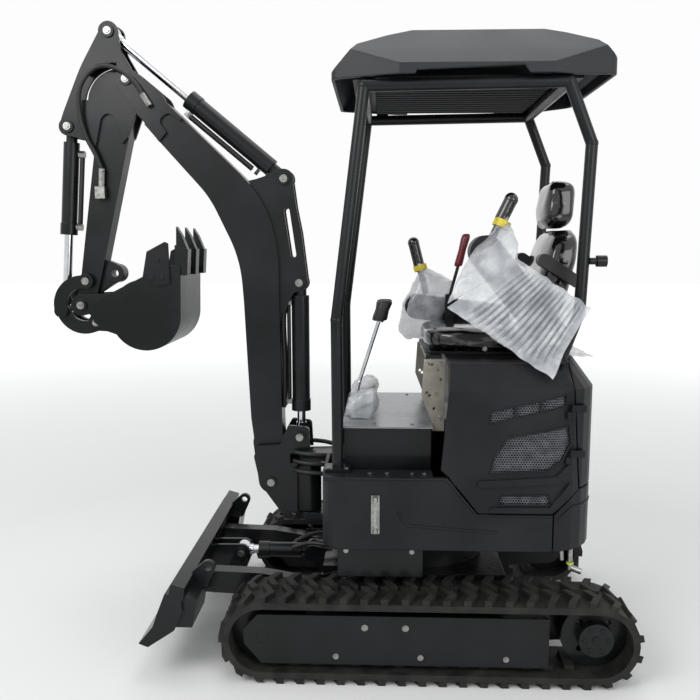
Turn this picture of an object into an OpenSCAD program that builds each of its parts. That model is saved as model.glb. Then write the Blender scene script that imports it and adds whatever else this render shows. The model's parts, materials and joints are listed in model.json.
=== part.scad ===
// Mini excavator with rubber tracks, canopy, swing boom and dozer blade.
// Units are millimetres. X runs to the rear, Y to the right-hand side, Z up.
// Side outlines are written as [x, z] from the slew axis, and place() moves them to the part's origin.

/* [Undercarriage] */
// Distance from the origin back to the slew axis
slew_x = 369; // [330:1:380]
// Overall length of the tracks over the lug tips
track_len = 1510; // [1400:10:1600]
// Overall width over the tracks
track_span = 1100; // [1060:10:1200]
// Width of one track
track_w = 230; // [200:5:250]
// Height of a track over the lug tips
track_h = 322; // [300:2:340]
// Height of the track lugs
lug_h = 20; // [12:1:26]
// Thickness of the rubber belt
belt_t = 24; // [18:1:30]
// Number of lug pairs round one track
lug_count = 45; // [40:1:50]
// Thickness of a lug along the track
lug_t = 26; // [18:1:34]
// How far the middle of a chevron lug leads its ends
lug_lead = 28; // [10:1:36]
// Height of the track frame's side plate
frame_h = 184; // [160:2:200]
// Thickness of the track frame's plates
frame_t = 12; // [8:1:16]
// Radius of the slew ring
slew_r = 240; // [200:5:280]

/* [House] */
// Half width of the house
house_hw = 490; // [460:5:520]
// Front of the house, from the slew axis
house_front = -385; // [-395:1:-375]
// Rear of the house, from the slew axis
house_rear = 592; // [570:2:620]
// Underside of the house's deck
deck_z = 490; // [480:1:510]
// Thickness of the deck plate
deck_t = 20; // [12:1:30]
// Top of the front skirt
skirt_top = 745; // [720:1:770]
// Height of the skirt's lower rear part
skirt_low = 615; // [600:1:640]
// Top of the hood
hood_top_z = 1142; // [1120:1:1160]
// Height of the sloped shoulder round the hood's top
shoulder_h = 84; // [60:2:110]
// How far the shoulder leans in
shoulder_in = 58; // [30:2:80]
// Wall of the moulded covers
cover_t = 14; // [8:1:20]
// Seam between two covers
seam = 5; // [3:0.5:8]
// Thickness of the cast counterweight
weight_t = 110; // [60:5:150]
// Top of the operator's floor
floor_z = 895; // [870:1:920]

/* [Seat and controls] */
// Width of the seat cushion
seat_w = 450; // [400:5:500]
// Length of the seat cushion
seat_l = 430; // [380:5:470]
// Thickness of the seat cushion
seat_t = 86; // [60:2:110]
// Radius of the travel lever rods
lever_r = 7; // [5:0.5:10]

/* [Canopy] */
// Height of the canopy roof's top
roof_top = 2330; // [2280:5:2380]
// Height of the canopy roof's rim
roof_rim = 2128; // [2100:2:2160]
// Half width of the canopy roof
roof_hw = 430; // [400:5:460]
// Wall of the canopy roof
roof_t = 12; // [8:1:20]
// Radius of the canopy posts
post_r = 21; // [17:0.5:26]
// Distance of the posts from the middle
post_y = 385; // [360:1:400]

/* [Boom and arm] */
// Width of the boom box
boom_w = 110; // [90:2:130]
// Width over the arm's cheeks
arm_w = 98; // [80:2:100]
// Thickness of the cheek plates
cheek_t = 12; // [8:1:16]
// Radius of the main pins
pin_r = 20; // [16:0.5:24]
// Radius of the pin heads
head_r = 24; // [20:0.5:28]
// Thickness of a pin head
head_t = 8; // [5:0.5:12]
// Width of the swing post over its side plates
post_w = 156; // [150:2:170]
// Thickness of the swing post's side plates
post_t = 16; // [12:1:18]
// Radius of the swing pin
swing_pin_r = 28; // [22:1:32]
// Radius of the bore in the arm's thumb lug
thumb_bore_r = 15; // [10:0.5:20]

/* [Cylinders] */
// Outer radius of the boom cylinder
boom_cyl_r = 36; // [30:1:42]
// Outer radius of the arm cylinder
arm_cyl_r = 35; // [30:1:40]
// Outer radius of the bucket cylinder
bucket_cyl_r = 31; // [26:1:36]
// Outer radius of the blade cylinder
blade_cyl_r = 30; // [26:1:36]
// Radius of the piston rods
rod_r = 17; // [14:0.5:20]
// Width of the cylinder eyes
eye_w = 44; // [36:1:50]
// Radius of the cylinder eyes
eye_r = 32; // [28:1:36]

/* [Bucket and blade] */
// Width of the bucket
bucket_w = 340; // [300:5:450]
// Wall of the bucket
bucket_t = 12; // [8:1:16]
// Number of bucket teeth
teeth = 3; // [2:1:5]
// Width of the dozer blade
blade_w = 1100; // [1000:10:1200]
// Width of a blade push arm
push_arm_w = 60; // [40:2:80]

/* [Fits] */
// Radial running clearance of a pin in its bore
fit = 0.05; // [0.02:0.01:0.1]
// Side clearance between moving plates
gap = 5; // [3:0.5:8]
// Clearance of a fixed piece from its seat
seat_gap = 0.3; // [0.1:0.1:0.5]

/* [Hidden] */
$fn = 48;

// Colours
paint = "#232527";
plastic = "#2c2d30";
roof_grey = "#3c3e43";
rubber = "#2a2927";
zinc = "#b9b9b4";
chrome = "#c8cacc";
vinyl = "#1f1f20";
film = "#d8dade";

// Pin places, [x, z] from the slew axis, with every cylinder as it is when parked
foot_pin = [-619, 600];
post_pin = [-501, 789];
lug_pin = [-502, 1407];
arm_base_pin = [-560, 1814];
arm_pivot = [-1163, 2190];
arm_top_pin = [-1232, 2372];
bucket_base_pin = [-1405, 2016];
tip_pin = [-1370, 1318];
link_pin = [-1310, 1250];
joint_pin = [-1461, 1294];
guide_pin = [-1356, 1413];
thumb_pin = [-1246, 1443];
blade_pin = [-430, 215];
blade_base_pin = [-455, 285];
blade_rod_pin = [-752, 285];
swing_x = -470;

// Track loop
loop_r = track_h / 2 - lug_h;
wheel_r = loop_r - belt_t;
wheel_x = track_len / 2 - track_h / 2;
axle_z = track_h / 2;
run = 2 * wheel_x;
loop_len = 2 * run + 2 * PI * loop_r;
track_y = track_span / 2 - track_w / 2;
frame_z0 = axle_z - wheel_r + 18;
frame_out = track_w / 2 - 30;
frame_in = track_w / 2 - 28;
roller_r = 47;
roller_x = [-332, -30, 274];

// Plate planes across the arm and the bucket, as half widths
arm_h = arm_w / 2;
box_h = arm_h - cheek_t;
guide_y = arm_h + 3;
guide_t = 10;
ear_y = guide_y + guide_t + 3;
ear_t = 14;
link_y = eye_w / 2 + 2;
link_t = box_h + cheek_t - 2 - link_y;

// Outline helpers
function unit(v) = v / norm(v);
function wrap(a) = a > 180 ? a - 360 : a < -180 ? a + 360 : a;
function arc(c, r, a0, a1, n) = [for (i = [0:n]) c + r * [cos(a0 + (a1 - a0) * i / n),
    sin(a0 + (a1 - a0) * i / n)]];
function fillet(a, b, c, r, n) =
    let (
        p = [b.x, b.y],
        u = unit([a.x, a.y] - p),
        v = unit([c.x, c.y] - p),
        half = acos(max(-1, min(1, u * v))) / 2,
        m = p + unit(u + v) * r / sin(half),
        p0 = p + u * r / tan(half) - m,
        p1 = p + v * r / tan(half) - m,
        a0 = atan2(p0.y, p0.x),
        turn = wrap(atan2(p1.y, p1.x) - a0)
    )
    arc(m, r, a0, a0 + turn, n);
// Closed outline whose corners are [x, y, radius]
function rounded(pts, n = 6) = [
    for (i = [0:len(pts) - 1])
        let (a = pts[(i + len(pts) - 1) % len(pts)], b = pts[i], c = pts[(i + 1) % len(pts)])
            each (b.z > 0 ? fillet(a, b, c, b.z, n) : [[b.x, b.y]])
];

module place() translate([slew_x, 0, 0]) children();
module mirrored() for (s = [-1, 1]) scale([1, s, 1]) children();
// A side outline as a plate centred on y
module plate(y, t) translate([0, y + t / 2, 0]) rotate([90, 0, 0]) linear_extrude(t) children();
module plates(y, t) for (s = [-1, 1]) plate(s * (y + t / 2), t) children();
module at(p) translate([p.x, p.y]) children();
module disc(p, r) at(p) circle(r);
// Two discs joined by their outer tangents
module bar(a, ra, b, rb) {
    d = atan2(b.y - a.y, b.x - a.x);
    f = acos((ra - rb) / norm(b - a));
    disc(a, ra);
    disc(b, rb);
    polygon([for (k = [[a, ra, 1], [b, rb, 1], [b, rb, -1], [a, ra, -1]])
        k[0] + k[1] * [cos(d + k[2] * f), sin(d + k[2] * f)]]);
}
module pin(p, r, y0, y1) translate([p.x, y1, p.y]) rotate([90, 0, 0]) cylinder(r = r, h = y1 - y0);
module bore(p, r, half) pin(p, r, -half, half);
module heads(p, y) for (s = [-1, 1]) pin(p, head_r, s > 0 ? y : -y - head_t, s > 0 ? y + head_t : -y);
// Local Z along the line from p to q
module along(p, q) translate([p.x, 0, p.y]) rotate([0, atan2(q.x - p.x, q.y - p.y), 0]) children();
module tube(p, q, r, y) translate([0, y, 0]) along(p, q) cylinder(r = r, h = norm(q - p));
module ball(p, r, y) translate([p.x, y, p.y]) sphere(r = r);

// Undercarriage

// Place and direction at a length s round the track's belt
// On the round ends it lies lower by the sagitta of a lug
module on_loop(s) {
    q = loop_len / 2;
    u = s % q;
    flip = s >= q ? 180 : 0;
    rotate([0, flip, 0])
        if (u < run) translate([-run / 2 + u, 0, loop_r]) children();
        else translate([run / 2, 0, 0]) rotate([0, (u - run) / loop_r * 180 / PI, 0])
            translate([0, 0, loop_r - lug_sag]) children();
}
module stadium(r) polygon(concat(arc([wheel_x, 0], r, -90, 90, loop_steps), arc([-wheel_x, 0], r, 90,
    270, loop_steps)));
lug_sink = 9;
loop_steps = 14;
lug_edge = 2;
lug_sag = track_h / 2 - sqrt(pow(track_h / 2, 2) - pow(lug_t / 2 + lug_lead, 2));
lug_row = track_w / 2 - 2 * lug_edge;
module chevron(way) linear_extrude(lug_h + lug_sink)
    polygon([[-lug_t / 2, -lug_row / 2], [lug_t / 2, -lug_row / 2], [lug_t / 2 + way * lug_lead, 0],
        [lug_t / 2, lug_row / 2], [-lug_t / 2, lug_row / 2], [-lug_t / 2 + way * lug_lead, 0]]);
module track(side) color(rubber) place() translate([0, side * track_y, axle_z]) {
    translate([0, track_w / 2, 0]) rotate([90, 0, 0]) linear_extrude(track_w) difference() {
        stadium(loop_r);
        stadium(wheel_r / cos(90 / loop_steps));
    }
    for (i = [0:lug_count - 1]) {
        on_loop(i * loop_len / lug_count)
            translate([0, side * track_w / 4, -lug_sink]) chevron(1);
        on_loop((i + 0.5) * loop_len / lug_count)
            translate([0, -side * track_w / 4, -lug_sink]) chevron(-1);
    }
}
module track_left() track(-1);
module track_right() track(1);

frame_side = [[-612, frame_z0 + frame_h, 0], [-664, axle_z + 32, 20], [-664, axle_z - 24, 20],
    [-600, frame_z0, 0], [424, frame_z0, 0], [424, frame_z0 + frame_h, 0]];
module track_frame(side) color(paint) place() translate([0, side * track_y, 0]) difference() {
    union() {
        plate(side * (frame_out - frame_t / 2), frame_t) polygon(rounded(frame_side));
        plate(-side * (frame_in - frame_t / 2), frame_t) polygon(rounded(frame_side));
        // Box that joins the plates above the rollers
        plate(side * (frame_out - frame_in) / 2, frame_out + frame_in - 2 * frame_t)
            translate([-440, frame_z0 + frame_h - 80]) square([864, 70]);
        // Drive motor's mount behind the plates
        plate(-side * (70 + seat_gap + 8), 16) bar([430, axle_z], 72, [wheel_x, axle_z], 62);
    }
    for (x = roller_x) translate([x, 0, axle_z - wheel_r + roller_r]) rotate([90, 0, 0])
        cylinder(r = 14, h = track_w, center = true);
    translate([-wheel_x, 0, axle_z]) rotate([90, 0, 0]) cylinder(r = 22, h = track_w, center = true);
}
module track_frame_left() track_frame(-1);
module track_frame_right() track_frame(1);

module sprockets() color(paint) place() for (side = [-1, 1]) translate([wheel_x, side * track_y, axle_z])
    rotate([90 * side, 0, 0]) difference() {
        union() {
            cylinder(r = wheel_r - seat_gap, h = 56, center = true);
            translate([0, 0, -70]) cylinder(r = 62, h = 140);
        }
        for (a = [45:90:315]) rotate(a) translate([70, 0, -60]) cylinder(r = 11, h = 120);
    }
module idlers() color(paint) place() for (side = [-1, 1]) translate([-wheel_x, side * track_y, axle_z])
    rotate([90, 0, 0]) {
        cylinder(r = wheel_r - seat_gap, h = 60, center = true);
        cylinder(r = 22 - seat_gap, h = frame_in + frame_out - 4, center = true);
    }
module rollers() color(paint) place() for (side = [-1, 1], x = roller_x)
    translate([x, side * track_y, axle_z - wheel_r + roller_r]) rotate([90, 0, 0]) {
        cylinder(r = roller_r - seat_gap, h = 120, center = true);
        cylinder(r = 14 - seat_gap, h = frame_in + frame_out - 4, center = true);
    }

body_z0 = 150;
body_top = 338;
body_hw = track_y - frame_in;
ring_top = deck_z - 4;
bracket_t = 22;
// Room between the blade's brackets and the track frames
bracket_clear = 49;
pin_end = 6;
bracket_y = body_hw - push_arm_w / 2 - gap - bracket_t - pin_end - bracket_clear;
module car_body() color(paint) place() difference() {
    union() {
        translate([-300, -body_hw + 40, body_z0 + 20])
            cube([600, 2 * body_hw - 80, body_top - body_z0 - 40]);
        // Legs out to the track frames
        translate([-260, -body_hw + seat_gap, body_z0 + 20]) cube([520, 2 * (body_hw - seat_gap), 90]);
        translate([0, 0, body_top - 40]) cylinder(r = slew_r, h = ring_top - body_top + 40);
        // Front nose with the blade's brackets
        translate([-400, -200, body_z0 + 30]) cube([140, 400, 120]);
        for (s = [-1, 1]) for (k = [-1, 1])
            plate(s * bracket_y + k * (push_arm_w / 2 + gap + bracket_t / 2), bracket_t)
                bar(blade_pin, 42, [-300, 225], 60);
        plates(eye_w / 2 + gap, 16) bar(blade_base_pin, 34, [-380, 250], 50);
        pin(blade_base_pin, pin_r - 4, -eye_w / 2 - gap - 16, eye_w / 2 + gap + 16);
        for (s = [-1, 1]) pin(blade_pin, pin_r, s * bracket_y - push_arm_w / 2 - gap - bracket_t - pin_end,
            s * bracket_y + push_arm_w / 2 + gap + bracket_t + pin_end);
    }
    // Cable and hose passage through the ring's middle
    cylinder(r = 60, h = 900);
}

// Dozer blade
module blade_section() {
    polygon([[-1037, 143], [-1003, 130], [-907, 194], [-876, 262], [-880, 322], [-938, 330],
        [-965, 262], [-985, 205]]);
}
push_arm = [[-884, 300, 0], [-640, 292, 60], [blade_pin.x + 10, blade_pin.y + 40, 30],
    [blade_pin.x + 38, blade_pin.y - 10, 30], [blade_pin.x - 30, blade_pin.y - 42, 30],
        [-700, 205, 60], [-896, 215, 0]];
module blade() color(paint) place() difference() {
    union() {
        plate(0, blade_w) blade_section();
        // Tube along the top edge
        plate(0, blade_w - 2) polygon([[-926, 318], [-872, 306], [-866, 352], [-914, 366]]);
        // Sleeves for the end extensions
        for (s = [-1, 1]) plate(s * (blade_w / 2 - 115), 200)
            polygon([[-884, 318], [-826, 304], [-846, 200], [-905, 200]]);
        for (s = [-1, 1]) plate(s * bracket_y, push_arm_w) polygon(rounded(push_arm));
        // Cross tube between the push arms
        plate(0, 2 * bracket_y) polygon([[-800, 200], [-740, 200], [-740, 246], [-800, 246]]);
        // Ears for the blade cylinder
        plates(eye_w / 2 + gap, 14) bar(blade_rod_pin, 34, [-850, 262], 56);
        heads(blade_rod_pin, eye_w / 2 + gap + 14);
        // Tow eye plates on the back of the blade
        for (s = [-1, 1]) plate(s * 400, 20) bar([-812, 372], 26, [-850, 320], 40);
    }
    for (s = [-1, 1]) translate([0, s * bracket_y, 0]) bore(blade_pin, pin_r + fit, push_arm_w);
    for (s = [-1, 1]) translate([0, s * 400, 0]) bore([-812, 372], 13, 30);
}

// Cylinders

// Barrel from its base pin p towards q, with its tube from a to b along the way
module barrel(p, q, r, a, b, base_r) along(p, q) difference() {
    union() {
        translate([0, 0, a]) cylinder(r = r, h = b - a);
        translate([0, 0, b - 46]) cylinder(r = r + 3, h = 46);
        cylinder(r = r * 0.7, h = a + 10);
        rotate([90, 0, 0]) cylinder(r = base_r, h = eye_w, center = true);
    }
    translate([0, 0, a + 12]) cylinder(r = rod_r + fit, h = b);
    rotate([90, 0, 0]) cylinder(r = pin_r - 4 + fit, h = 3 * eye_w, center = true);
}
// Rod whose eye is at q, reaching a length in from it towards p
module rod(p, q, l) along(q, p) difference() {
    union() {
        rotate([90, 0, 0]) cylinder(r = eye_r, h = eye_w, center = true);
        cylinder(r = rod_r, h = l);
        cylinder(r = rod_r + 4, h = eye_r + 14);
    }
    rotate([90, 0, 0]) cylinder(r = pin_r - 4 + fit, h = 3 * eye_w, center = true);
}
module blade_barrel() color(paint) place() barrel(blade_base_pin, blade_rod_pin, blade_cyl_r, 50, 228, 30);
module blade_rod() color(chrome) place() rod(blade_base_pin, blade_rod_pin, 170);
module boom_barrel() color(paint) place() barrel(lug_pin, post_pin, boom_cyl_r, 52, 522, eye_r);
module boom_rod() color(chrome) place() rod(lug_pin, post_pin, 470);
module arm_barrel() color(paint) place() barrel(arm_base_pin, arm_top_pin, arm_cyl_r, 68, 486, eye_r);
module arm_rod() color(chrome) place() rod(arm_base_pin, arm_top_pin, 520);
module bucket_barrel() color(paint) place() barrel(bucket_base_pin, joint_pin, bucket_cyl_r, 56, 420, 30);
module bucket_rod() color(chrome) place() rod(bucket_base_pin, joint_pin, 420);

// House

corner_f = 80;
corner_r = 190;
plan_mid = (house_front + house_rear) / 2;
lid_rise = 16;
module house_plan(d) polygon(rounded([
    [house_front + d, -house_hw + d, corner_f - d], [house_rear - d, -house_hw + d, corner_r - d],
    [house_rear - d, house_hw - d, corner_r - d], [house_front + d, house_hw - d, corner_f - d]]));
// Wall of the house, upright to the shoulder and leaning in above it
module leaning(d, h) translate([plan_mid, 0, hood_top_z - shoulder_h])
    linear_extrude(h, scale = 1 - shoulder_in / house_hw * h / shoulder_h)
        translate([-plan_mid, 0]) house_plan(d);
module shell(t) {
    translate([0, 0, deck_z - 10]) linear_extrude(hood_top_z - shoulder_h - deck_z + 10) difference() {
        house_plan(0);
        house_plan(t);
    }
    difference() {
        leaning(0, shoulder_h + lid_rise);
        translate([0, 0, -0.01]) leaning(t, shoulder_h + lid_rise + 1);
    }
}
module cover(side, t, outline) intersection() {
    shell(t);
    plate(side * house_hw / 2, house_hw) polygon(outline);
}

slant_x0 = 60;
slant_x1 = 166;
skirt_end = 429;
skirt_side = [[house_front - 20, deck_z - 8], [skirt_end, deck_z - 8], [skirt_end, skirt_low],
    [slant_x1, skirt_low],
    [slant_x0, skirt_top], [house_front - 20, skirt_top]];
bracket_hw = 150;
module skirt(side) color(plastic) place() difference() {
    union() {
        cover(side, cover_t, skirt_side);
        // Lip along the top of the skirt
        translate([house_front + 10, side * (house_hw - 55) - 50, skirt_top - 14])
            cube([slant_x0 - house_front - 60, 100, 14]);
    }
    translate([house_front - 20, -bracket_hw, deck_z - 40]) cube([200, 2 * bracket_hw, 400]);
}
module skirt_left() skirt(-1);
module skirt_right() skirt(1);

hood_side = [[slant_x1 + 2, skirt_low + seam], [skirt_end - 2, skirt_low + seam], [524, 700],
    [486, hood_top_z - 14],
    [486, hood_top_z], [68, hood_top_z], [36, skirt_top + 30], [slant_x0 + 4, skirt_top + seam]];
grille_main = [[204, 762, 10], [404, 776, 12], [456, 812, 12], [488, 872, 12], [478, 934, 10],
    [268, 894, 18], [220, 826, 14]];
grille_top = [[200, 940], [466, 1004], [466, 1044], [204, 984]];
grille_low = [[236, 650, 6], [420, 652, 6], [412, 690, 6], [246, 686, 6]];
module hood(side) color(plastic) place() difference() {
    union() {
        cover(side, cover_t, hood_side);
        // Raised bevel ridges under the two grilles
        intersection() {
            plate(side * house_hw, 26) union() {
                bar([176, 726], 13, [440, 744], 13);
                bar([440, 744], 13, [516, 816], 11);
                bar([216, 634], 10, [420, 636], 10);
                bar([420, 636], 10, [500, 730], 9);
            }
            translate([0, 0, deck_z]) linear_extrude(hood_top_z - deck_z) house_plan(-10);
        }
    }
    plate(side * (house_hw - cover_t), 3 * cover_t) polygon(rounded(grille_main));
    plate(side * (house_hw - cover_t), 3 * cover_t) polygon(rounded(grille_low));
    for (k = [0:2]) plate(side * (house_hw - cover_t), 3 * cover_t)
        polygon([for (c = [[k / 3 + 0.02, 0], [(k + 1) / 3 - 0.02, 0], [(k + 1) / 3 - 0.02, 1],
            [k / 3 + 0.02, 1]])
            (1 - c[0]) * ((1 - c[1]) * grille_top[0] + c[1] * grille_top[3])
            + c[0] * ((1 - c[1]) * grille_top[1] + c[1] * grille_top[2])]);
}
// Hinge of the rear hood, on its left-hand edge
hinge_xy = [488.5, 6 - house_hw];
hinge_z = [hood_top_z - 342, hood_top_z - 182];
hinge_r = 7;
hinge_h = 24;
// Bars behind the hood's windows, along the curve of its wall
bar_pitch = 14;
bar_d = 5;
module window_bars(side) intersection() {
    translate([0, 0, 640]) for (z = [0:bar_pitch:420]) translate([0, 0, z])
        linear_extrude(bar_d) difference() {
        house_plan(cover_t + seat_gap);
        house_plan(cover_t + seat_gap + bar_d);
    }
    plate(side * house_hw / 2, house_hw) union() {
        translate([226, 640]) square([200, 60]);
        translate([190, 745]) square([300, hood_top_z - shoulder_h - 752]);
    }
}
module grilles() color(paint) place() for (side = [-1, 1]) {
    window_bars(side);
    // Uprights that carry the bars
    intersection() {
        for (x = [190, 340, 480]) translate([x, side > 0 ? 0 : -house_hw, x > 400 ? 745 : 636])
            cube([8, house_hw, hood_top_z - shoulder_h - (x > 400 ? 745 : 636) - 7]);
        translate([0, 0, 600]) linear_extrude(500) difference() {
            house_plan(cover_t + seat_gap);
            house_plan(cover_t + seat_gap + bar_d + 4);
        }
    }
}
module hood_left() {
    hood(-1);
    color(paint) place() for (z = hinge_z) translate([hinge_xy.x, hinge_xy.y, z]) {
        cylinder(r = hinge_r, h = hinge_h);
        cylinder(r = hinge_r / 2, h = 2 * hinge_h);
        translate([-20, -3, 0]) cube([18, 22, hinge_h]);
    }
}
module hood_right() hood(1);

module hood_top() color(plastic) place() intersection() {
    leaning(cover_t + seat_gap, shoulder_h);
    translate([66, -house_hw, hood_top_z - cover_t]) cube([486 - seam - 66, 2 * house_hw, cover_t]);
}

rear_side = [[524 + seam, 700 + seam], [house_rear + 20, 700 + seam],
    [house_rear + 20, hood_top_z + lid_rise], [486 + seam, hood_top_z + lid_rise],
        [486 + seam, hood_top_z - 14]];
module rear_hood() color(plastic) place() {
    for (z = hinge_z) translate([hinge_xy.x, hinge_xy.y, z + hinge_h + 1]) difference() {
        union() {
            cylinder(r = hinge_r, h = hinge_h - 1);
            translate([0, -3, 0]) cube([44, 6, hinge_h - 1]);
            translate([32, -3, 0]) cube([12, 60, hinge_h - 1]);
        }
        translate([0, 0, -1]) cylinder(r = hinge_r / 2 + fit, h = hinge_h + 2);
    }
    for (s = [-1, 1]) cover(s, cover_t, rear_side);
    // Top
    intersection() {
        leaning(0, shoulder_h + lid_rise);
        translate([486 + seam, -house_hw, hood_top_z + 2]) cube([120, 2 * house_hw, lid_rise - 2]);
    }
}
weight_side = [[skirt_end + seam, deck_z - 8], [house_rear + 20, deck_z - 8],
    [house_rear + 20, 700 - 2], [526, 700 - 2],
    [skirt_end + seam, skirt_low + 2]];
module counterweight() color(plastic) place() for (s = [-1, 1]) cover(s, weight_t, weight_side);

belly_z = 352;
top_ear_z = 684;
ear_h = 30;
low_ear_z = 438;
module swing_ear(z) translate([0, 0, z]) linear_extrude(ear_h) difference() {
    union() {
        translate([swing_x, 0]) circle(62);
        polygon([[swing_x, -62], [swing_x, 62], [house_front + 30, 75], [house_front + 30, -75]]);
    }
    translate([swing_x, 0]) circle(swing_pin_r + fit);
}
nose_x = house_front + 16;
nose_l = 107;
nose_hw = 120;
module swing_bracket() color(paint) place() {
    swing_ear(top_ear_z);
    swing_ear(low_ear_z);
    // Nose block that carries the ears
    translate([nose_x, -nose_hw, low_ear_z]) cube([nose_l, 2 * nose_hw, top_ear_z + ear_h - low_ear_z]);
    // Swing pin with its cap
    translate([swing_x, 0, low_ear_z]) cylinder(r = swing_pin_r, h = top_ear_z + ear_h - low_ear_z + 2);
}
module house_frame() color(paint) place() difference() {
    union() {
        translate([0, 0, deck_z]) linear_extrude(deck_t) difference() {
            intersection() {
                house_plan(cover_t + seat_gap);
                translate([house_front, -house_hw])
                    square([skirt_end + seam - seat_gap - house_front, 2 * house_hw]);
            }
            // Notch for the nose block
            translate([house_front - 1, -nose_hw - seat_gap])
                square([nose_x + nose_l + seat_gap - house_front + 1, 2 * (nose_hw + seat_gap)]);
        }
        // Upper half of the slew ring
        translate([0, 0, ring_top + seat_gap]) cylinder(r = slew_r, h = deck_z + 4 - ring_top);
        // Guards that hang under the deck
        for (s = [-1, 1]) translate([-330, s * 380 - 40, belly_z]) cube([310, 80, deck_z - belly_z + 4]);
        // Bulkhead behind the floor and under the seat
        for (k = [[house_hw - cover_t - seat_gap, hood_top_z - shoulder_h],
            [house_hw - shoulder_in - 2 * cover_t, hood_top_z - cover_t]])
            translate([70, -k[0], deck_z + 10]) cube([20, 2 * k[0], k[1] - deck_z - 10 - seat_gap]);
    }
    cylinder(r = 60, h = 900, center = true);
}
module engine_block() color("#55585c") place() translate([170, -200, deck_z + deck_t])
    cube([280, 400, 400]);
floor_hw = 340;
module floor_box() color(paint) place() difference() {
    translate([-310, -floor_hw, deck_z + deck_t + seat_gap])
        cube([320, 2 * floor_hw, floor_z - deck_z - deck_t - 6 - seat_gap]);
    translate([-298, -floor_hw + 12, deck_z]) cube([296, 2 * floor_hw - 24, floor_z - deck_z - 18]);
    translate([-400, -130, deck_z]) cube([300, 260, top_ear_z + ear_h + 10 - deck_z]);
}
module floor_plate() color("#85878a") place() translate([-318, -floor_hw - 8, floor_z - 6 + seat_gap])
    cube([334, 2 * floor_hw + 16, 6 - seat_gap]);

// Seat and controls

pedestal_side = [[16 + seat_gap, floor_z - 30], [16 + seat_gap, floor_z + seat_gap], [-24, 1000],
    [-16, 1136], [62, 1136], [62, floor_z - 30]];
module seat_pedestal() color("#a9a49a") place() difference() {
    plates(270, 6) polygon(pedestal_side);
    for (p = [[0, 1118], [14, 1116], [36, 1096], [48, 1060], [-4, 1010], [6, 1000], [24, 950], [40, 920]])
        bore(p, 6, 300);
}
seat_front = -10;
base_z = hood_top_z;
back_z = hood_top_z + 98;
cushion_z = hood_top_z + 10;
module seat_base() color(paint) place() {
    translate([seat_front + 20, -170, base_z + seat_gap])
        cube([seat_l - 40, 340, cushion_z - base_z - seat_gap]);
    translate([seat_front, -268, hood_top_z - 5]) cube([60, 536, 12]);
    // Brackets under the backrest
    plates(110, 12) polygon([[380, base_z + 1], [450, base_z + 1], [500, back_z - seat_gap],
        [430, back_z - seat_gap], [421, hood_top_z + 58], [421, cushion_z - 2],
        [380, cushion_z - 2]]);
}
module seat_cushion() color(vinyl) place() plate(0, seat_w)
    polygon(rounded([[seat_front, cushion_z + seat_gap, 30],
        [seat_front + seat_l, cushion_z + seat_gap, 20],
        [seat_front + seat_l, cushion_z + seat_t - 20, 20], [seat_front, cushion_z + seat_t, 40]]));
back_h = 372;
back_side = [[392, back_z, 30], [470, back_z, 30], [560, back_z + 350, 40], [545, back_z + back_h, 0],
    [455, back_z + back_h, 30],
    [372, back_z + 80, 30]];
module seat_back() color(vinyl) place() plate(0, seat_w - 40)
    polygon(rounded([for (p = back_side) [p.x + seat_front + seat_l - 390, p.y, p.z]]));
head_z = back_z + back_h + 12;
head_side = [[440, head_z, 24], [545, head_z, 24], [568, head_z + 140, 36], [532, head_z + 174, 20],
    [466, head_z + 170, 36]];
module headrest() color(vinyl) place() {
    plate(0, 250) polygon(rounded(head_side));
    for (s = [-1, 1]) tube([524, back_z + back_h + seat_gap], [524, head_z + 6], 7, s * 60);
}
module armrests() color(vinyl) place() for (s = [-1, 1]) plate(s * (seat_w / 2 - 20 + 28 + seat_gap), 56)
    bar([420, back_z + 260], 24, [548, back_z + 178], 20);

console_w = 96;
console_y = 306;
console_a = [452, hood_top_z + 70];
console_b = [196, hood_top_z + 390];
console_r = 58;
left_top = [284, hood_top_z + 574];
bag_t = 30;
bag_side = 7;
module console_left() color(plastic) place() {
    plate(-console_y, console_w) bar(console_a, console_r, console_b, console_r);
    translate([console_a.x - 30, -console_y - 30, hood_top_z + seat_gap]) cube([60, 60, 60]);
}
right_a = [330, hood_top_z + 106];
right_b = [-20, hood_top_z + 148];
right_r = 52;
right_top = [-36, hood_top_z + 424];
module console_right() color(plastic) place() {
    plate(console_y, console_w) bar(right_a, right_r, right_b, right_r);
    translate([right_a.x - 10, console_y - 30, hood_top_z + seat_gap]) cube([60, 60, 80]);
}
// Bag of air columns that hangs outside the left console, its inner face at the rear post
bag_in = post_y + post_r + 1 + seat_gap;
bag_left_side = [[50, hood_top_z + 198, 20], [330, hood_top_z + 18, 20], [430, hood_top_z + 18, 20],
    [548, hood_top_z + 198, 20], [330, hood_top_z + 370, 20], [262, hood_top_z + 498, 12],
    [226, hood_top_z + 508, 12]];
module console_bag_left() color(film) place() plate(-bag_in - bag_t / 2, bag_t)
    polygon(rounded(bag_left_side));
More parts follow.
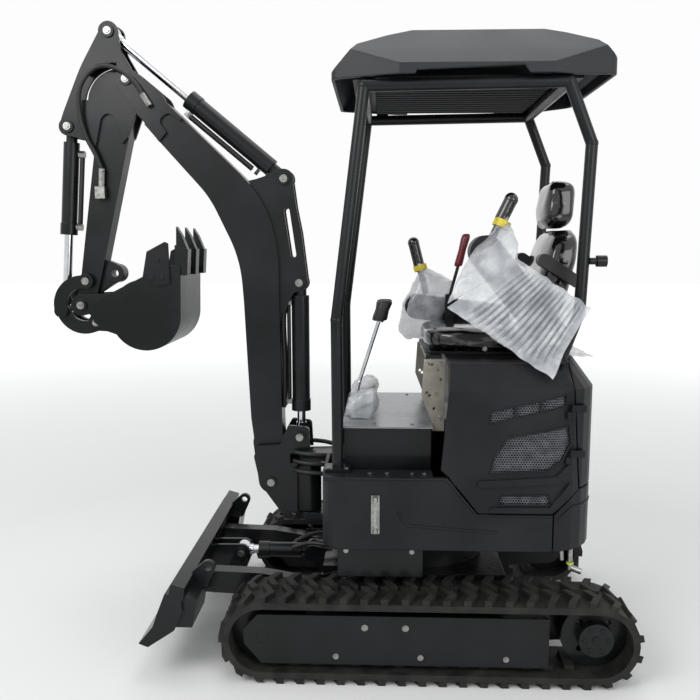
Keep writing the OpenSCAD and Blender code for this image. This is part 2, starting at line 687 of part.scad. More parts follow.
// Crumpled bag over the front of the right console
bag_right_side = [[-96, hood_top_z + 48, 20], [92, hood_top_z + 4, 10], [92, hood_top_z + 258, 20],
    [40, hood_top_z + 334, 16], [-10, hood_top_z + 328, 16]];
module console_bag_right() color(film) place()
    plate(console_y - console_w / 2 - bag_side - seat_gap, 2 * bag_side)
    polygon(rounded(bag_right_side));
module stick(p, q, y) {
    tube(p, p + 0.5 * (q - p), 14, y);
    tube(p + 0.45 * (q - p), q, 24, y);
    ball(q, 25, y);
}
module joysticks() color(vinyl) place() {
    stick(console_b + (console_r + seat_gap) * unit(left_top - console_b), left_top, -console_y);
    stick(right_b + [42, right_r + 0.8], right_top, console_y);
}
module travel_levers() color(chrome) place() for (s = [-1, 1]) translate([0, s * 46, 0]) {
    tube([-284, floor_z + 2], [-262, 1010], lever_r, 0);
    ball([-262, 1010], lever_r + 1, 0);
    tube([-262, 1010], [-180, 1268], lever_r, 0);
    tube([-184, 1256], [-168, 1306], 18, 0);
    ball([-168, 1306], 26, 0);
}
module pedals() color(zinc) place() for (s = [-1, 1]) translate([0, s * 170, 0]) {
    translate([-292, -30, floor_z]) cube([70, 60, 26]);
    plate(0, 70) polygon([[-290, floor_z + 20], [-200, floor_z + 62], [-203, floor_z + 70],
        [-290, floor_z + 30]]);
}
lever_y = seat_w / 2 + 11;
module blade_lever() color(paint) place() {
    tube([118, hood_top_z + 196], [172, hood_top_z + 398], 7, lever_y);
    tube([158, hood_top_z + 348], [182, hood_top_z + 446], 14, lever_y);
    translate([100, lever_y - 9, hood_top_z + seat_gap]) cube([36, 18, 204]);
}
module oil_gauge() color(zinc) place() translate([-208, -house_hw - 4, 542]) cube([30, 4, 140]);

// Canopy

front_base = [-330, skirt_top + 2];
front_knee = [-335, 1290];
front_top = [-239, 2096];
rear_base = [458, hood_top_z + 8];
rear_foot = [520, 1320];
rear_knee = [541, 1900];
rear_top = [459, 2106];
module post_line(pts, y) for (i = [0:len(pts) - 2]) {
    tube(pts[i], pts[i + 1], post_r, y);
    if (i > 0) ball(pts[i], post_r + 1, y);
}
module canopy_posts() color(paint) place() {
    mirrored() {
        post_line([front_base, front_knee, front_top], post_y);
        post_line([rear_base, rear_foot, rear_knee, rear_top], post_y);
        ball(front_top, post_r + 1, post_y);
        ball(rear_top, post_r + 1, post_y);
        translate([front_base.x - 46, post_y - 35, skirt_top + seat_gap]) cube([92, 80, 12]);
        translate([rear_base.x - 58, post_y - 30, hood_top_z + seat_gap]) cube([78, 75, 12]);
        tube(front_top, rear_top, post_r, post_y);
        // Brackets up to the roof
        intersection() {
            union() for (x = [front_top.x + 40, rear_top.x - 60])
                translate([x, post_y - 12, front_top.y]) cube([50, 8, 200]);
            roof_solid(roof_t + seat_gap);
        }
    }
    for (p = [front_top, rear_top]) translate([p.x, post_y, p.y]) rotate([90, 0, 0])
        cylinder(r = post_r, h = 2 * post_y);
}
roof_x0 = -354;
roof_x1 = 633;
module roof_solid(d) intersection() {
    plate(0, 2 * roof_hw) polygon(concat(
        [[roof_x0 + d, roof_rim - 1 + (d > 0 ? -10 : 0)], [roof_x0 + d, roof_rim + 22 - d]],
        [for (k = [0:8]) let (x = roof_x0 + 90 + k * (roof_x1 - roof_x0 - 160) / 8, h = (x - 160) / 450)
            [x, roof_top - d - 96 * h * h]],
        [[roof_x1 - d, roof_rim + 60 - d], [roof_x1 - d, roof_rim + 10 + (d > 0 ? -30 : 0)],
            [480, roof_rim - 1 + (d > 0 ? -10 : 0)]]));
    rotate([90, 0, 90]) translate([0, 0, roof_x0 - 10]) linear_extrude(roof_x1 - roof_x0 + 20)
        polygon([[-roof_hw + d, roof_rim - 40], [-roof_hw + d, roof_rim + 34 - d],
            [-roof_hw + 60 + d, roof_top - 110 - d],
            [-roof_hw + 150 + d, roof_top - 26 - d], [-120, roof_top - d], [120, roof_top - d],
            [roof_hw - 150 - d, roof_top - 26 - d], [roof_hw - 60 - d, roof_top - 110 - d],
                [roof_hw - d, roof_rim + 34 - d],
            [roof_hw - d, roof_rim - 40]]);
    translate([0, 0, roof_rim - 60]) linear_extrude(400) polygon(rounded([[roof_x0 + d, -345 + d, 30],
        [-120, -roof_hw + d, 0],
        [400, -roof_hw + d, 0], [roof_x1 - d, -345 + d, 40], [roof_x1 - d, 345 - d, 40],
            [400, roof_hw - d, 0],
        [-120, roof_hw - d, 0], [roof_x0 + d, 345 - d, 30]]));
}
module canopy_roof() color(roof_grey) place() difference() {
    roof_solid(0);
    roof_solid(roof_t);
    plate(0, 2 * roof_hw + 20) polygon([[-90, roof_rim - 60], [-60, roof_rim + 12],
        [300, roof_rim + 26], [360, roof_rim - 60]]);
}
module canopy_liner() color(plastic) place() {
    translate([front_top.x - 40, -330, rear_top.y + post_r + seat_gap])
        cube([rear_top.x - front_top.x + 100, 660, 14]);
}
module rear_lamp() color(paint) place() translate([527 + post_r + seat_gap, -post_y, 1500]) rotate([0,
    90, 0]) {
    cylinder(r = 12, h = 30);
    translate([0, 0, 24]) cylinder(r = 20, h = 34);
}

// Swing post, boom and arm

post_h = post_w / 2;
post_side = [[-664, 592, 24], [-688, 704, 20], [-676, 750, 14], [-578, 756, 10], [-569, 794, 0],
    [-545, 836, 12],
    [-464, 828, 16], [-458, top_ear_z + ear_h + gap, 0], [-540, top_ear_z + ear_h + gap, 0],
        [-540, top_ear_z - gap, 0],
    [-512, top_ear_z - gap, 0], [-512, low_ear_z + ear_h + gap, 0],
        [-540, low_ear_z + ear_h + gap, 0], [-540, 446, 0], [-560, 446, 14]];
tube_top = top_ear_z - gap / 2;
tube_low = low_ear_z + ear_h + gap / 2;
module swing_post() color(paint) place() difference() {
    union() {
        plates(post_h - post_t, post_t) polygon(rounded(post_side));
        // Back plate and the sleeve round the swing pin
        translate([-530, -post_h + 1, tube_low]) cube([18, post_w - 2, tube_top - tube_low]);
        translate([swing_x, 0, tube_low]) cylinder(r = 50, h = tube_top - tube_low);
        translate([-515, -50, tube_low]) cube([45, 100, tube_top - tube_low]);
        // Inner bosses of the cylinder's ears
        for (s = [-1, 1]) plate(s * (eye_w / 2 + gap + (post_h - post_t / 2 - eye_w / 2 - gap) / 2),
            post_h - post_t / 2 - eye_w / 2 - gap)
            disc(post_pin, 30);
        heads(post_pin, post_h);
        heads(foot_pin, post_h);
        bore(foot_pin, pin_r, post_h);
    }
    translate([swing_x, 0, low_ear_z]) cylinder(r = swing_pin_r + fit, h = top_ear_z - low_ear_z + 40);
}

boom_h = boom_w / 2;
boom_side = [[-700, 860, 0], [-712, 1110, 0], [-722, 1330, 900], [-734, 1500, 500], [-850, 1742, 420],
    [-1041, 1954, 0],
    [-1100, 2022, 0], [-1012, 2104, 0], [-729, 1832, 0], [-622, 1716, 420], [-582, 1520, 700],
        [-580, 1290, 0],
    [-574, 848, 0], [-566, 620, 0], [-670, 620, 0]];
fork_side = [[-1129, 2069, 0], [-1041, 1954, 0], [-1010, 1990, 0], [-1046, 2040, 24],
    [-1000, 2062, 20], [-951, 2030, 0],
    [-951, 2046, 0], [-1103, 2189, 0]];
lug_side = [[-700, 1806, 0], [-672, 1812, 30], [-637, 1823, 20], [-590, 1852, 0], [-558, 1852, 0],
    [-526, 1816, 0],
    [-511, 1704, 0], [-491, 1602, 0], [-468, 1412, 0], [-480, 1374, 20], [-522, 1370, 20], [-580, 1270, 0],
    [-592, 1530, 500], [-640, 1716, 420]];
module boom_lugs() difference() {
    union() {
        polygon(rounded(lug_side));
        disc(arm_base_pin, 38);
        disc(lug_pin, 36);
    }
    bar([-549, 1690], 11, [-524, 1518], 11);
}
lug_gap = eye_w / 2 + gap;
module boom() color(paint) place() difference() {
    union() {
        difference() {
            union() {
                plate(0, boom_w) polygon(rounded(boom_side, 10));
                plate(0, boom_w) bar(foot_pin, 54, [-635, 760], 58);
            }
            // Hollow end that the arm's root turns in
            bore(arm_pivot, 150, boom_w);
        }
        plates(boom_h, cheek_t) union() {
            polygon(rounded(fork_side));
            bar(arm_pivot, 44, [-1070, 2090], 62);
        }
        plates(lug_gap, cheek_t) boom_lugs();
        for (p = [arm_base_pin, lug_pin]) {
            bore(p, pin_r - 4, lug_gap + cheek_t);
            heads(p, lug_gap + cheek_t);
        }
        bore(arm_pivot, pin_r, boom_h + cheek_t);
        heads(arm_pivot, boom_h + cheek_t);
    }
    bore(foot_pin, pin_r + fit, boom_w);
}

arm_box = [[-1327, 2000, 0], [-1310, 1900, 0], [-1378, 1450, 0], [-1392, 1330, 30], [-1320, 1350, 0],
    [-1286, 1480, 0],
    [-1167, 1976, 0], [-1148, 2110, 0], [-1220, 2140, 40]];
arm_cheek = [[-1262, 2382, 0], [-1345, 2240, 700], [-1424, 2060, 500], [-1440, 2010, 0],
    [-1405, 1980, 0], [-1318, 1962, 0],
    [-1296, 1940, 0], [-1272, 2046, 20], [-1243, 2072, 24], [-1216, 2046, 20], [-1190, 1950, 0],
        [-1163, 1980, 0],
    [-1129, 2069, 0], [-1122, 2180, 0], [-1150, 2240, 60], [-1184, 2300, 60], [-1194, 2372, 0]];
window_c = [-1216, 2110];
module arm() color(paint) place() difference() {
    union() {
        plate(0, 2 * box_h) polygon(rounded(arm_box));
        plates(box_h, cheek_t) difference() {
            union() {
                polygon(rounded(arm_cheek));
                disc(arm_top_pin, 38);
                disc(bucket_base_pin, 35);
                disc(arm_pivot, 44);
            }
            // Crescent window that the hoses pass
            intersection() {
                difference() {
                    disc(window_c, 146);
                    disc(window_c + [26, -8], 130);
                }
                polygon([window_c, window_c + [-200, 10], window_c + [-200, 200], window_c + [20, 200]]);
            }
        }
        // Plate between the cheeks along the arm's back
        plate(0, 2 * box_h + 2) polygon([[-1346, 2226], [-1334, 2232], [-1312, 2270], [-1296, 2300],
            [-1306, 2304], [-1328, 2262]]);
        // Bosses at the arm's pivot and tip
        bore(arm_pivot, 42, arm_h);
        bore(tip_pin, 38, ear_y - 2);
        plate(0, 2 * box_h) bar(tip_pin, 38, [-1345, 1420], 40);
        for (p = [arm_top_pin, bucket_base_pin]) heads(p, arm_h);
        bore(bucket_base_pin, pin_r - 4, arm_h);
        // Lug for a thumb
        plate(0, 36) polygon([[-1290, 1500], thumb_pin + [10, 36], thumb_pin + [0, -37], [-1320, 1360]]);
        bore(thumb_pin, 37, 30);
        bore(guide_pin, pin_r - 4, guide_y + guide_t + 2);
    }
    bore(arm_pivot, pin_r + fit, arm_w);
    bore(tip_pin, pin_r + fit, arm_w);
    bore(thumb_pin, thumb_bore_r, arm_w);
}

// Bucket and its linkage

link_in = 66;
link_out = 118;
// Part of a ring round the tip pin from angle a0 to a1
module ring_part(a0, a1) difference() {
    intersection() {
        disc(tip_pin, link_out);
        polygon(concat([tip_pin], arc(tip_pin, 200, a0, a1, 8)));
    }
    disc(tip_pin, link_in);
}
function angle_of(p) = let (a = atan2(p.y - tip_pin.y, p.x - tip_pin.x)) a < 0 ? a + 360 : a;
module guide_links() color(paint) place() difference() {
    plates(guide_y, guide_t) union() {
        ring_part(angle_of(guide_pin) + 6, angle_of(joint_pin));
        disc(guide_pin, 30);
        disc(joint_pin, 27);
    }
    bore(guide_pin, pin_r - 4 + fit, 200);
}
module bucket_link() color(paint) place() difference() {
    union() {
        plates(link_y, link_t) union() {
            ring_part(angle_of(joint_pin), angle_of(link_pin));
            disc(joint_pin, 27);
            disc(link_pin, 28);
        }
        // Web that joins the two plates at the bucket's end
        bore(link_pin, 28, box_h);
    }
    bore(link_pin, pin_r - 4 + fit, 200);
    bore(joint_pin, pin_r - 4 + fit, 200);
}
bowl_c = [-1086, 1287];
bowl_r = 138;
wall_x = bowl_c.x + bowl_r;
lip_z = 1478;
bucket_hw = bucket_w / 2;
module bucket_outline() {
    disc(bowl_c, bowl_r);
    polygon([bowl_c, [wall_x, bowl_c.y], [wall_x + 4, lip_z], [-990, lip_z], [-1088, 1437],
        [-1284, 1340], [-1290, 1262],
        [-1250, 1228], [-1186, 1206]]);
}
module bucket_inside() {
    disc(bowl_c, bowl_r - bucket_t);
    polygon([bowl_c, [wall_x - bucket_t, bowl_c.y], [wall_x + 4 - bucket_t, lip_z + 40],
        [-1150, lip_z + 20], [-1262, 1380], [-1208, 1260],
        [-1178, 1216]]);
}
module bucket() color(paint) place() union() {
    difference() {
        plate(0, bucket_w) bucket_outline();
        plate(0, bucket_w - 2 * bucket_t) bucket_inside();
        // Room for the linkage between the ears
        plate(0, 2 * ear_y) disc(tip_pin, link_out + 20);
    }
    plates(ear_y, ear_t) union() {
        bar(tip_pin, 42, [-1250, 1336], 30);
        bar(link_pin, 34, [-1210, 1240], 30);
        polygon([tip_pin, [-1250, 1350], [-1200, 1260], link_pin]);
    }
    bore(tip_pin, pin_r, ear_y + ear_t);
    bore(link_pin, pin_r - 4, ear_y + ear_t);
    heads(tip_pin, ear_y + ear_t);
    heads(link_pin, ear_y + ear_t);
    // Bolted side cutters
    plates(bucket_hw, 12) polygon([[-1088, 1437], [-1070, 1531], [-1000, 1568], [-988, 1562],
        [-984, 1410], [-1040, 1400]]);
}
tooth_pitch = (bucket_w - 60) / (teeth - 1);
module bucket_teeth() color(paint) place() for (i = [0:teeth - 1]) {
    y = -bucket_w / 2 + 30 + i * tooth_pitch;
    plate(y, 52) polygon([[-966, lip_z + 0.2], [wall_x + 4, lip_z + 0.2], [wall_x + 4, 1440],
        [-920, 1440], [-914, 1540], [-966, 1556]]);
    plate(y, 36) polygon([[-962, 1550], [-918, 1538], [-940, 1594], [-960, 1626]]);
}

car_body();
track_frame_left();
track_frame_right();
track_left();
track_right();
sprockets();
idlers();
rollers();
blade();
blade_barrel();
blade_rod();
house_frame();
swing_bracket();
skirt_left();
skirt_right();
hood_left();
hood_right();
hood_top();
rear_hood();
grilles();
counterweight();
engine_block();
floor_box();
floor_plate();
seat_pedestal();
seat_base();
seat_cushion();
seat_back();
headrest();
armrests();
console_left();
console_right();
joysticks();
travel_levers();
pedals();
blade_lever();
console_bag_left();
console_bag_right();
oil_gauge();
canopy_posts();
canopy_roof();
canopy_liner();
rear_lamp();
swing_post();
boom();
boom_barrel();
boom_rod();
arm();
arm_barrel();
arm_rod();
bucket();
bucket_teeth();
bucket_barrel();
bucket_rod();
guide_links();
bucket_link();
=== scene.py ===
import json
import math

import bpy
import bmesh
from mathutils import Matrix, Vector, noise


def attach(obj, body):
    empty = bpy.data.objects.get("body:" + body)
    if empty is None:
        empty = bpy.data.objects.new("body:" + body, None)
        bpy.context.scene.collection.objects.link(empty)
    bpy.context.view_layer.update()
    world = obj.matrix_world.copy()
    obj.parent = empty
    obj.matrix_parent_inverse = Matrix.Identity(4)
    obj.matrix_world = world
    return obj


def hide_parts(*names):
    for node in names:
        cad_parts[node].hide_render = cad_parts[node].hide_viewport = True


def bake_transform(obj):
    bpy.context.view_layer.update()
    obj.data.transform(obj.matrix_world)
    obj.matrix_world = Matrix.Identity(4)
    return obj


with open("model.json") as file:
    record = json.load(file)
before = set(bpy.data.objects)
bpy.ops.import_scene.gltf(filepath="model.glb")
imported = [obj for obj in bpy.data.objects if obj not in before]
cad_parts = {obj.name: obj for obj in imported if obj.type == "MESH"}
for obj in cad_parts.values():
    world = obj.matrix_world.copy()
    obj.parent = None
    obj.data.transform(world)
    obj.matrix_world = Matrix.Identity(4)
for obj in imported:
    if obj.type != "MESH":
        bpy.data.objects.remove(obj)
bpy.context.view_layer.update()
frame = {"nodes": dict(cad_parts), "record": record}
slewX = frame["record"]["behaviour"]["joints"][0]["pos_m"][0]  # the slew axis, metres from the origin
mm = 0.001
print("frame loaded:", len(frame["nodes"]), "nodes")


# Places are [x, y, z] in millimetres from the slew axis
def rowPoint(x, y, z):
    return Vector((slewX + x * mm, y * mm, z * mm))


def linear(hexText):
    channels = [int(hexText[i:i + 2], 16) / 255 for i in (1, 3, 5)]
    return [c / 12.92 if c <= 0.04045 else ((c + 0.055) / 1.055) ** 2.4 for c in channels] + [1.0]


def smoothStep(t):
    t = min(1.0, max(0.0, t))
    return t * t * (3 - 2 * t)


def addNode(tree, kind, inputs=None, **settings):
    node = tree.nodes.new(kind)
    for key, value in settings.items():
        setattr(node, key, value)
    for key, value in (inputs or {}).items():
        if isinstance(value, bpy.types.NodeSocket):
            tree.links.new(value, node.inputs[key])
        else:
            node.inputs[key].default_value = value
    return node


# Materials
def makeMaterial(name, base, second, patchMm, rough, grainMm=3.0, bumpMm=0.0, edgeMm=0.0,
                 stretch=(1.0, 1.0, 1.0), ramp=(0.35, 0.7), noiseType="FBM", alpha=None, **constants):
    material = bpy.data.materials.new(name)
    material.use_nodes = True
    tree = material.node_tree
    shader = tree.nodes["Principled BSDF"]
    for key, value in constants.items():
        shader.inputs[key.replace("_", " ")].default_value = value
    coords = addNode(tree, "ShaderNodeTexCoord").outputs["Object"]
    mapped = addNode(tree, "ShaderNodeMapping", {"Vector": coords, "Scale": stretch}).outputs["Vector"]
    patch = addNode(tree, "ShaderNodeTexNoise", {
        "Vector": mapped, "Scale": 1000 / patchMm, "Detail": 5.0}, noise_type=noiseType).outputs["Fac"]
    colour = addNode(tree, "ShaderNodeValToRGB", {"Fac": patch})
    for element, place, hexText in zip(colour.color_ramp.elements, ramp, (base, second)):
        element.position = place
        element.color = linear(hexText)
    tree.links.new(colour.outputs["Color"], shader.inputs["Base Color"])
    for socket, limits in (("Roughness", rough), ("Alpha", alpha)):
        if limits:
            spread = addNode(tree, "ShaderNodeMapRange", {
                "Value": patch, "From Min": ramp[0], "From Max": ramp[1],
                "To Min": limits[0], "To Max": limits[1]})
            tree.links.new(spread.outputs["Result"], shader.inputs[socket])
    normal = None
    if edgeMm:
        normal = addNode(tree, "ShaderNodeBevel", {"Radius": edgeMm * mm}, samples=4).outputs["Normal"]
    if bumpMm:
        grain = addNode(tree, "ShaderNodeTexNoise", {
            "Vector": mapped, "Scale": 1000 / grainMm, "Detail": 3.0}, noise_type=noiseType).outputs["Fac"]
        bump = addNode(tree, "ShaderNodeBump", {"Height": grain, "Distance": bumpMm * mm, "Strength": 0.8})
        if normal:
            tree.links.new(normal, bump.inputs["Normal"])
        normal = bump.outputs["Normal"]
    if normal:
        tree.links.new(normal, shader.inputs["Normal"])
    return material


# Gloss black paint over steel, a little dusty
glossPaint = makeMaterial("glossBlackPaint", "#0f1011", "#191b1d", 240, (0.24, 0.4), grainMm=5, bumpMm=0.1,
                          edgeMm=3, Specular_IOR_Level=0.22, Coat_Weight=0.12, Coat_Roughness=0.1)
# Moulded black plastic with a fine grain
mouldedPlastic = makeMaterial("mouldedPlastic", "#131416", "#1d1e21", 180, (0.36, 0.48), grainMm=1.6,
                              bumpMm=0.12, edgeMm=5, Specular_IOR_Level=0.22)
# Grey plastic of the canopy's roof
roofPlastic = makeMaterial("roofPlastic", "#1f2124", "#2b2d31", 260, (0.4, 0.52), grainMm=2, bumpMm=0.15,
                           edgeMm=8, Specular_IOR_Level=0.3)
# Painted cast iron of the counterweight and the engine
castIron = makeMaterial("paintedCastIron", "#111214", "#1b1c1f", 120, (0.38, 0.52), grainMm=4, bumpMm=0.35,
                        edgeMm=6, Specular_IOR_Level=0.22)
# Track rubber with pale dust in patches
trackRubber = makeMaterial("trackRubber", "#151514", "#2e2d2b", 70, (0.62, 0.85), grainMm=3, bumpMm=0.4,
                           edgeMm=3, Specular_IOR_Level=0.3)
# Hard chrome of the piston rods
chromeSteel = makeMaterial("chromeSteel", "#c3c6ca", "#dadcdf", 60, (0.08, 0.16), Metallic=1.0)
# Bright zinc plating
zincSteel = makeMaterial("zincSteel", "#858683", "#a9a9a4", 14, (0.28, 0.42), grainMm=1.5, bumpMm=0.06,
                         Metallic=1.0)
# Rolled steel of the floor, streaked along the machine
floorSteel = makeMaterial("floorSteel", "#808387", "#a6a9ac", 40, (0.25, 0.42), grainMm=2, bumpMm=0.08,
                          edgeMm=2, stretch=(0.2, 1.0, 1.0), Metallic=0.5)
# Beige galvanised plate of the seat's stand
pedestalSteel = makeMaterial("pedestalSteel", "#8f8a80", "#a9a499", 50, (0.4, 0.55), edgeMm=2, Metallic=0.7)
# Black seat vinyl under wrinkled clear film; its pale ridged streaks are painted highlights of the film's
# folds
filmedVinylPaintedSheen = makeMaterial("filmedVinylPaintedSheen", "#0e0e0f", "#9b9ea2", 34, (0.12, 0.3), grainMm=30, bumpMm=2.0,
                           ramp=(0.3, 0.95), stretch=(1.0, 0.6, 1.3), noiseType="RIDGED_MULTIFRACTAL",
                           Coat_Weight=0.5, Coat_Roughness=0.08)
# Plain black vinyl and soft grips
gripVinyl = makeMaterial("gripVinyl", "#0f1011", "#1a1b1d", 40, (0.4, 0.55), grainMm=2.5, bumpMm=0.3,
                         edgeMm=2)
# Clear polythene film; its paler, more opaque patches are partly the film's milky folds and partly painted
# highlights of its wrinkles
clearFilm = makeMaterial("clearFilm", "#b8bdc3", "#e4e6e9", 60, (0.1, 0.24), grainMm=24, bumpMm=1.6,
                         ramp=(0.35, 0.7), alpha=(0.46, 0.64), Coat_Weight=0.4, Coat_Roughness=0.05)
# Yellow adhesive tape
yellowTape = makeMaterial("yellowTape", "#c9b21c", "#e0cf3f", 20, (0.35, 0.5), grainMm=6, bumpMm=0.5)
# Burgundy plastic of the lever's grip
burgundyGrip = makeMaterial("burgundyGrip", "#5c0d1a", "#7a1526", 30, (0.25, 0.35))
# Rubber hydraulic hose with a woven cover
hoseRubber = makeMaterial("hoseRubber", "#0c0d0e", "#18191a", 16, (0.45, 0.6), grainMm=3, bumpMm=0.5)
# Pale steel wire of the hood's honeycomb screens
screenSteel = makeMaterial("screenSteel", "#63666b", "#8e9196", 30, (0.3, 0.45), Metallic=0.6)
# Clear acrylic of the sight tube
acrylic = makeMaterial("clearAcrylic", "#dfe4e2", "#eef1ef", 40, (0.03, 0.06), Transmission_Weight=0.8,
                       IOR=1.45)
# Green-yellow plastic tie
tiePlastic = makeMaterial("tiePlastic", "#a8b83a", "#bccb54", 20, (0.35, 0.45))

nodeMaterials = {
    glossPaint: ["car_body", "track_frame_left", "track_frame_right", "sprockets", "idlers", "rollers",
                 "blade", "blade_barrel", "house_frame", "swing_bracket", "floor_box", "seat_base",
                 "blade_lever", "grilles", "canopy_posts", "rear_lamp", "swing_post", "boom", "boom_barrel",
                 "arm", "arm_barrel", "bucket", "bucket_teeth", "bucket_barrel", "guide_links",
                 "bucket_link"],
    mouldedPlastic: ["skirt_left", "skirt_right", "hood_left", "hood_right", "hood_top", "rear_hood",
                     "console_left", "console_right", "canopy_liner"],
    roofPlastic: ["canopy_roof"],
    castIron: ["counterweight", "engine_block"],
    trackRubber: ["track_left", "track_right"],
    chromeSteel: ["blade_rod", "boom_rod", "arm_rod", "bucket_rod", "travel_levers"],
    zincSteel: ["pedals", "oil_gauge"],
    pedestalSteel: ["seat_pedestal"],
    floorSteel: ["floor_plate"],
    gripVinyl: ["armrests"],
    filmedVinylPaintedSheen: ["joysticks", "seat_cushion", "seat_back", "headrest"],
    clearFilm: ["console_bag_left", "console_bag_right"],
}
for material, names in nodeMaterials.items():
    for name in names:
        node = frame["nodes"].get(name)
        if node:
            node.data.materials.clear()
            node.data.materials.append(material)
print("materials:", len(bpy.data.materials))


# Mesh makers
def makeObject(name, verts, faces, material, body, sharpDeg=40):
    mesh = bpy.data.meshes.new(name)
    mesh.from_pydata([tuple(v) for v in verts], [], faces)
    shape = bmesh.new()
    shape.from_mesh(mesh)
    bmesh.ops.recalc_face_normals(shape, faces=shape.faces)
    shape.to_mesh(mesh)
    shape.free()
    mesh.polygons.foreach_set("use_smooth", [True] * len(mesh.polygons))
    mesh.set_sharp_from_angle(angle=math.radians(sharpDeg))
    mesh.materials.append(material)
    piece = bpy.data.objects.new(name, mesh)
    bpy.context.scene.collection.objects.link(piece)
    if body:
        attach(piece, body)
    return piece


def smoothPath(points, steps=8):
    ends = [points[0] * 2 - points[1]] + list(points) + [points[-1] * 2 - points[-2]]
    path = []
    for a, b, c, d in zip(ends, ends[1:], ends[2:], ends[3:]):
        for i in range(steps):
            t = i / steps
            path.append(0.5 * (2 * b + (c - a) * t + (2 * a - 5 * b + 4 * c - d) * t * t
                               + (3 * b - a - 3 * c + d) * t ** 3))
    return path + [points[-1]]


# Closed surface through rings of equal counts
def loftMesh(rings):
    count = len(rings[0])
    verts = [point for ring in rings for point in ring]
    faces = []
    for low in range(0, (len(rings) - 1) * count, count):
        for i in range(count):
            j = (i + 1) % count
            faces.append((low + i, low + j, low + count + j, low + count + i))
    faces.append(tuple(reversed(range(count))))
    faces.append(tuple(range(len(verts) - count, len(verts))))
    return verts, faces


# Closed thin sheet from the points of its two faces, point(i, j, face)
def sheetMesh(along, across, point, nearFace):
    row = along + 1
    half = row * (across + 1)
    verts = [point(i, j, face) for face in (nearFace, -nearFace)
             for j in range(across + 1) for i in range(row)]
    faces = []
    for j in range(across):
        for i in range(along):
            low = j * row + i
            corners = (low, low + 1, low + row + 1, low + row)
            faces += [corners, tuple(c + half for c in reversed(corners))]
    rim = list(range(along)) + [j * row + along for j in range(across)]
    rim += [across * row + i for i in range(along, 0, -1)] + [j * row for j in range(across, 0, -1)]
    faces += [(a, a + half, b + half, b) for a, b in zip(rim, rim[1:] + rim[:1])]
    return verts, faces


def tubeRings(path, radii, sides):
    rings = []
    side = None
    for i, point in enumerate(path):
        way = (path[min(i + 1, len(path) - 1)] - path[max(i - 1, 0)]).normalized()
        if side is None:
            side = way.orthogonal().normalized()
        side = (side - way * side.dot(way)).normalized()
        across = way.cross(side)
        rings.append([point + (side * math.cos(a) + across * math.sin(a)) * radii[i]
                      for a in (2 * math.pi * k / sides for k in range(sides))])
    return rings


# Several tubes of one piece, each a path with a radius in millimetres
def tubesPiece(name, tubes, material, body, sides=12):
    verts, faces = [], []
    for path, radius in tubes:
        moreVerts, moreFaces = loftMesh(tubeRings(path, [radius * mm] * len(path), sides))
        faces += [tuple(i + len(verts) for i in face) for face in moreFaces]
        verts += moreVerts
    return makeObject(name, verts, faces, material, body)


def superRing(centre, axisU, axisV, halfU, halfV, power, count=48):
    ring = []
    for k in range(count):
        c, s = math.cos(2 * math.pi * k / count), math.sin(2 * math.pi * k / count)
        u = math.copysign(abs(c) ** (2 / power), c) * halfU
        v = math.copysign(abs(s) ** (2 / power), s) * halfV
        ring.append(centre + axisU * (u * mm) + axisV * (v * mm))
    return ring


def crumple(points, sizeMm, amountMm):
    return [p + noise.noise_vector(p * (1000 / sizeMm)) * (amountMm * mm) for p in points]


axisX, axisY, axisZ = Vector((1, 0, 0)), Vector((0, 1, 0)), Vector((0, 0, 1))


# Repeats by Geometry Nodes: an item on every point, turned and scaled by the point's own attributes
def repeatOnPoints(name, spots, sizes, turns, material, body, item, buildItem):
    mesh = bpy.data.meshes.new(name + "Points")
    mesh.from_pydata([tuple(p) for p in spots], [], [])
    mesh.attributes.new("size", "FLOAT", "POINT").data.foreach_set("value", sizes)
    mesh.attributes.new("turn", "FLOAT_VECTOR", "POINT").data.foreach_set(
        "vector", [c for turn in turns for c in turn])
    piece = bpy.data.objects.new(name, mesh)
    bpy.context.scene.collection.objects.link(piece)
    tree = bpy.data.node_groups.new(name, "GeometryNodeTree")
    tree.interface.new_socket("Geometry", in_out="OUTPUT", socket_type="NodeSocketGeometry")
    tree.interface.new_socket("Points", in_out="INPUT", socket_type="NodeSocketGeometry")
    values = {label: ("NodeSocketFloat", value) for label, value in item.items()}
    values["Finish"] = ("NodeSocketMaterial", material)
    keys = {label: tree.interface.new_socket(label, in_out="INPUT", socket_type=kind).identifier
            for label, (kind, value) in values.items()}
    given = addNode(tree, "NodeGroupInput").outputs
    size = addNode(tree, "GeometryNodeInputNamedAttribute", {"Name": "size"}, data_type="FLOAT")
    turn = addNode(tree, "GeometryNodeInputNamedAttribute", {"Name": "turn"}, data_type="FLOAT_VECTOR")
    turned = addNode(tree, "FunctionNodeEulerToRotation", {"Euler": turn.outputs["Attribute"]})
    points = addNode(tree, "GeometryNodeMeshToPoints", {"Mesh": given["Points"]})
    placed = addNode(tree, "GeometryNodeInstanceOnPoints", {
        "Points": points.outputs["Points"], "Instance": buildItem(tree, given),
        "Rotation": turned.outputs["Rotation"], "Scale": size.outputs["Attribute"]})
    real = addNode(tree, "GeometryNodeRealizeInstances", {"Geometry": placed.outputs["Instances"]})
    done = addNode(tree, "GeometryNodeSetMaterial", {
        "Geometry": real.outputs["Geometry"], "Material": given["Finish"]})
    addNode(tree, "NodeGroupOutput", {"Geometry": done.outputs["Geometry"]})
    modifier = piece.modifiers.new(name, "NODES")
    modifier.node_group = tree
    for label, key in keys.items():
        modifier[key] = values[label][1]
    bpy.context.view_layer.update()
    final = bpy.data.meshes.new_from_object(piece.evaluated_get(bpy.context.evaluated_depsgraph_get()))
    piece.modifiers.clear()
    piece.data = final
    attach(piece, body)
    return piece


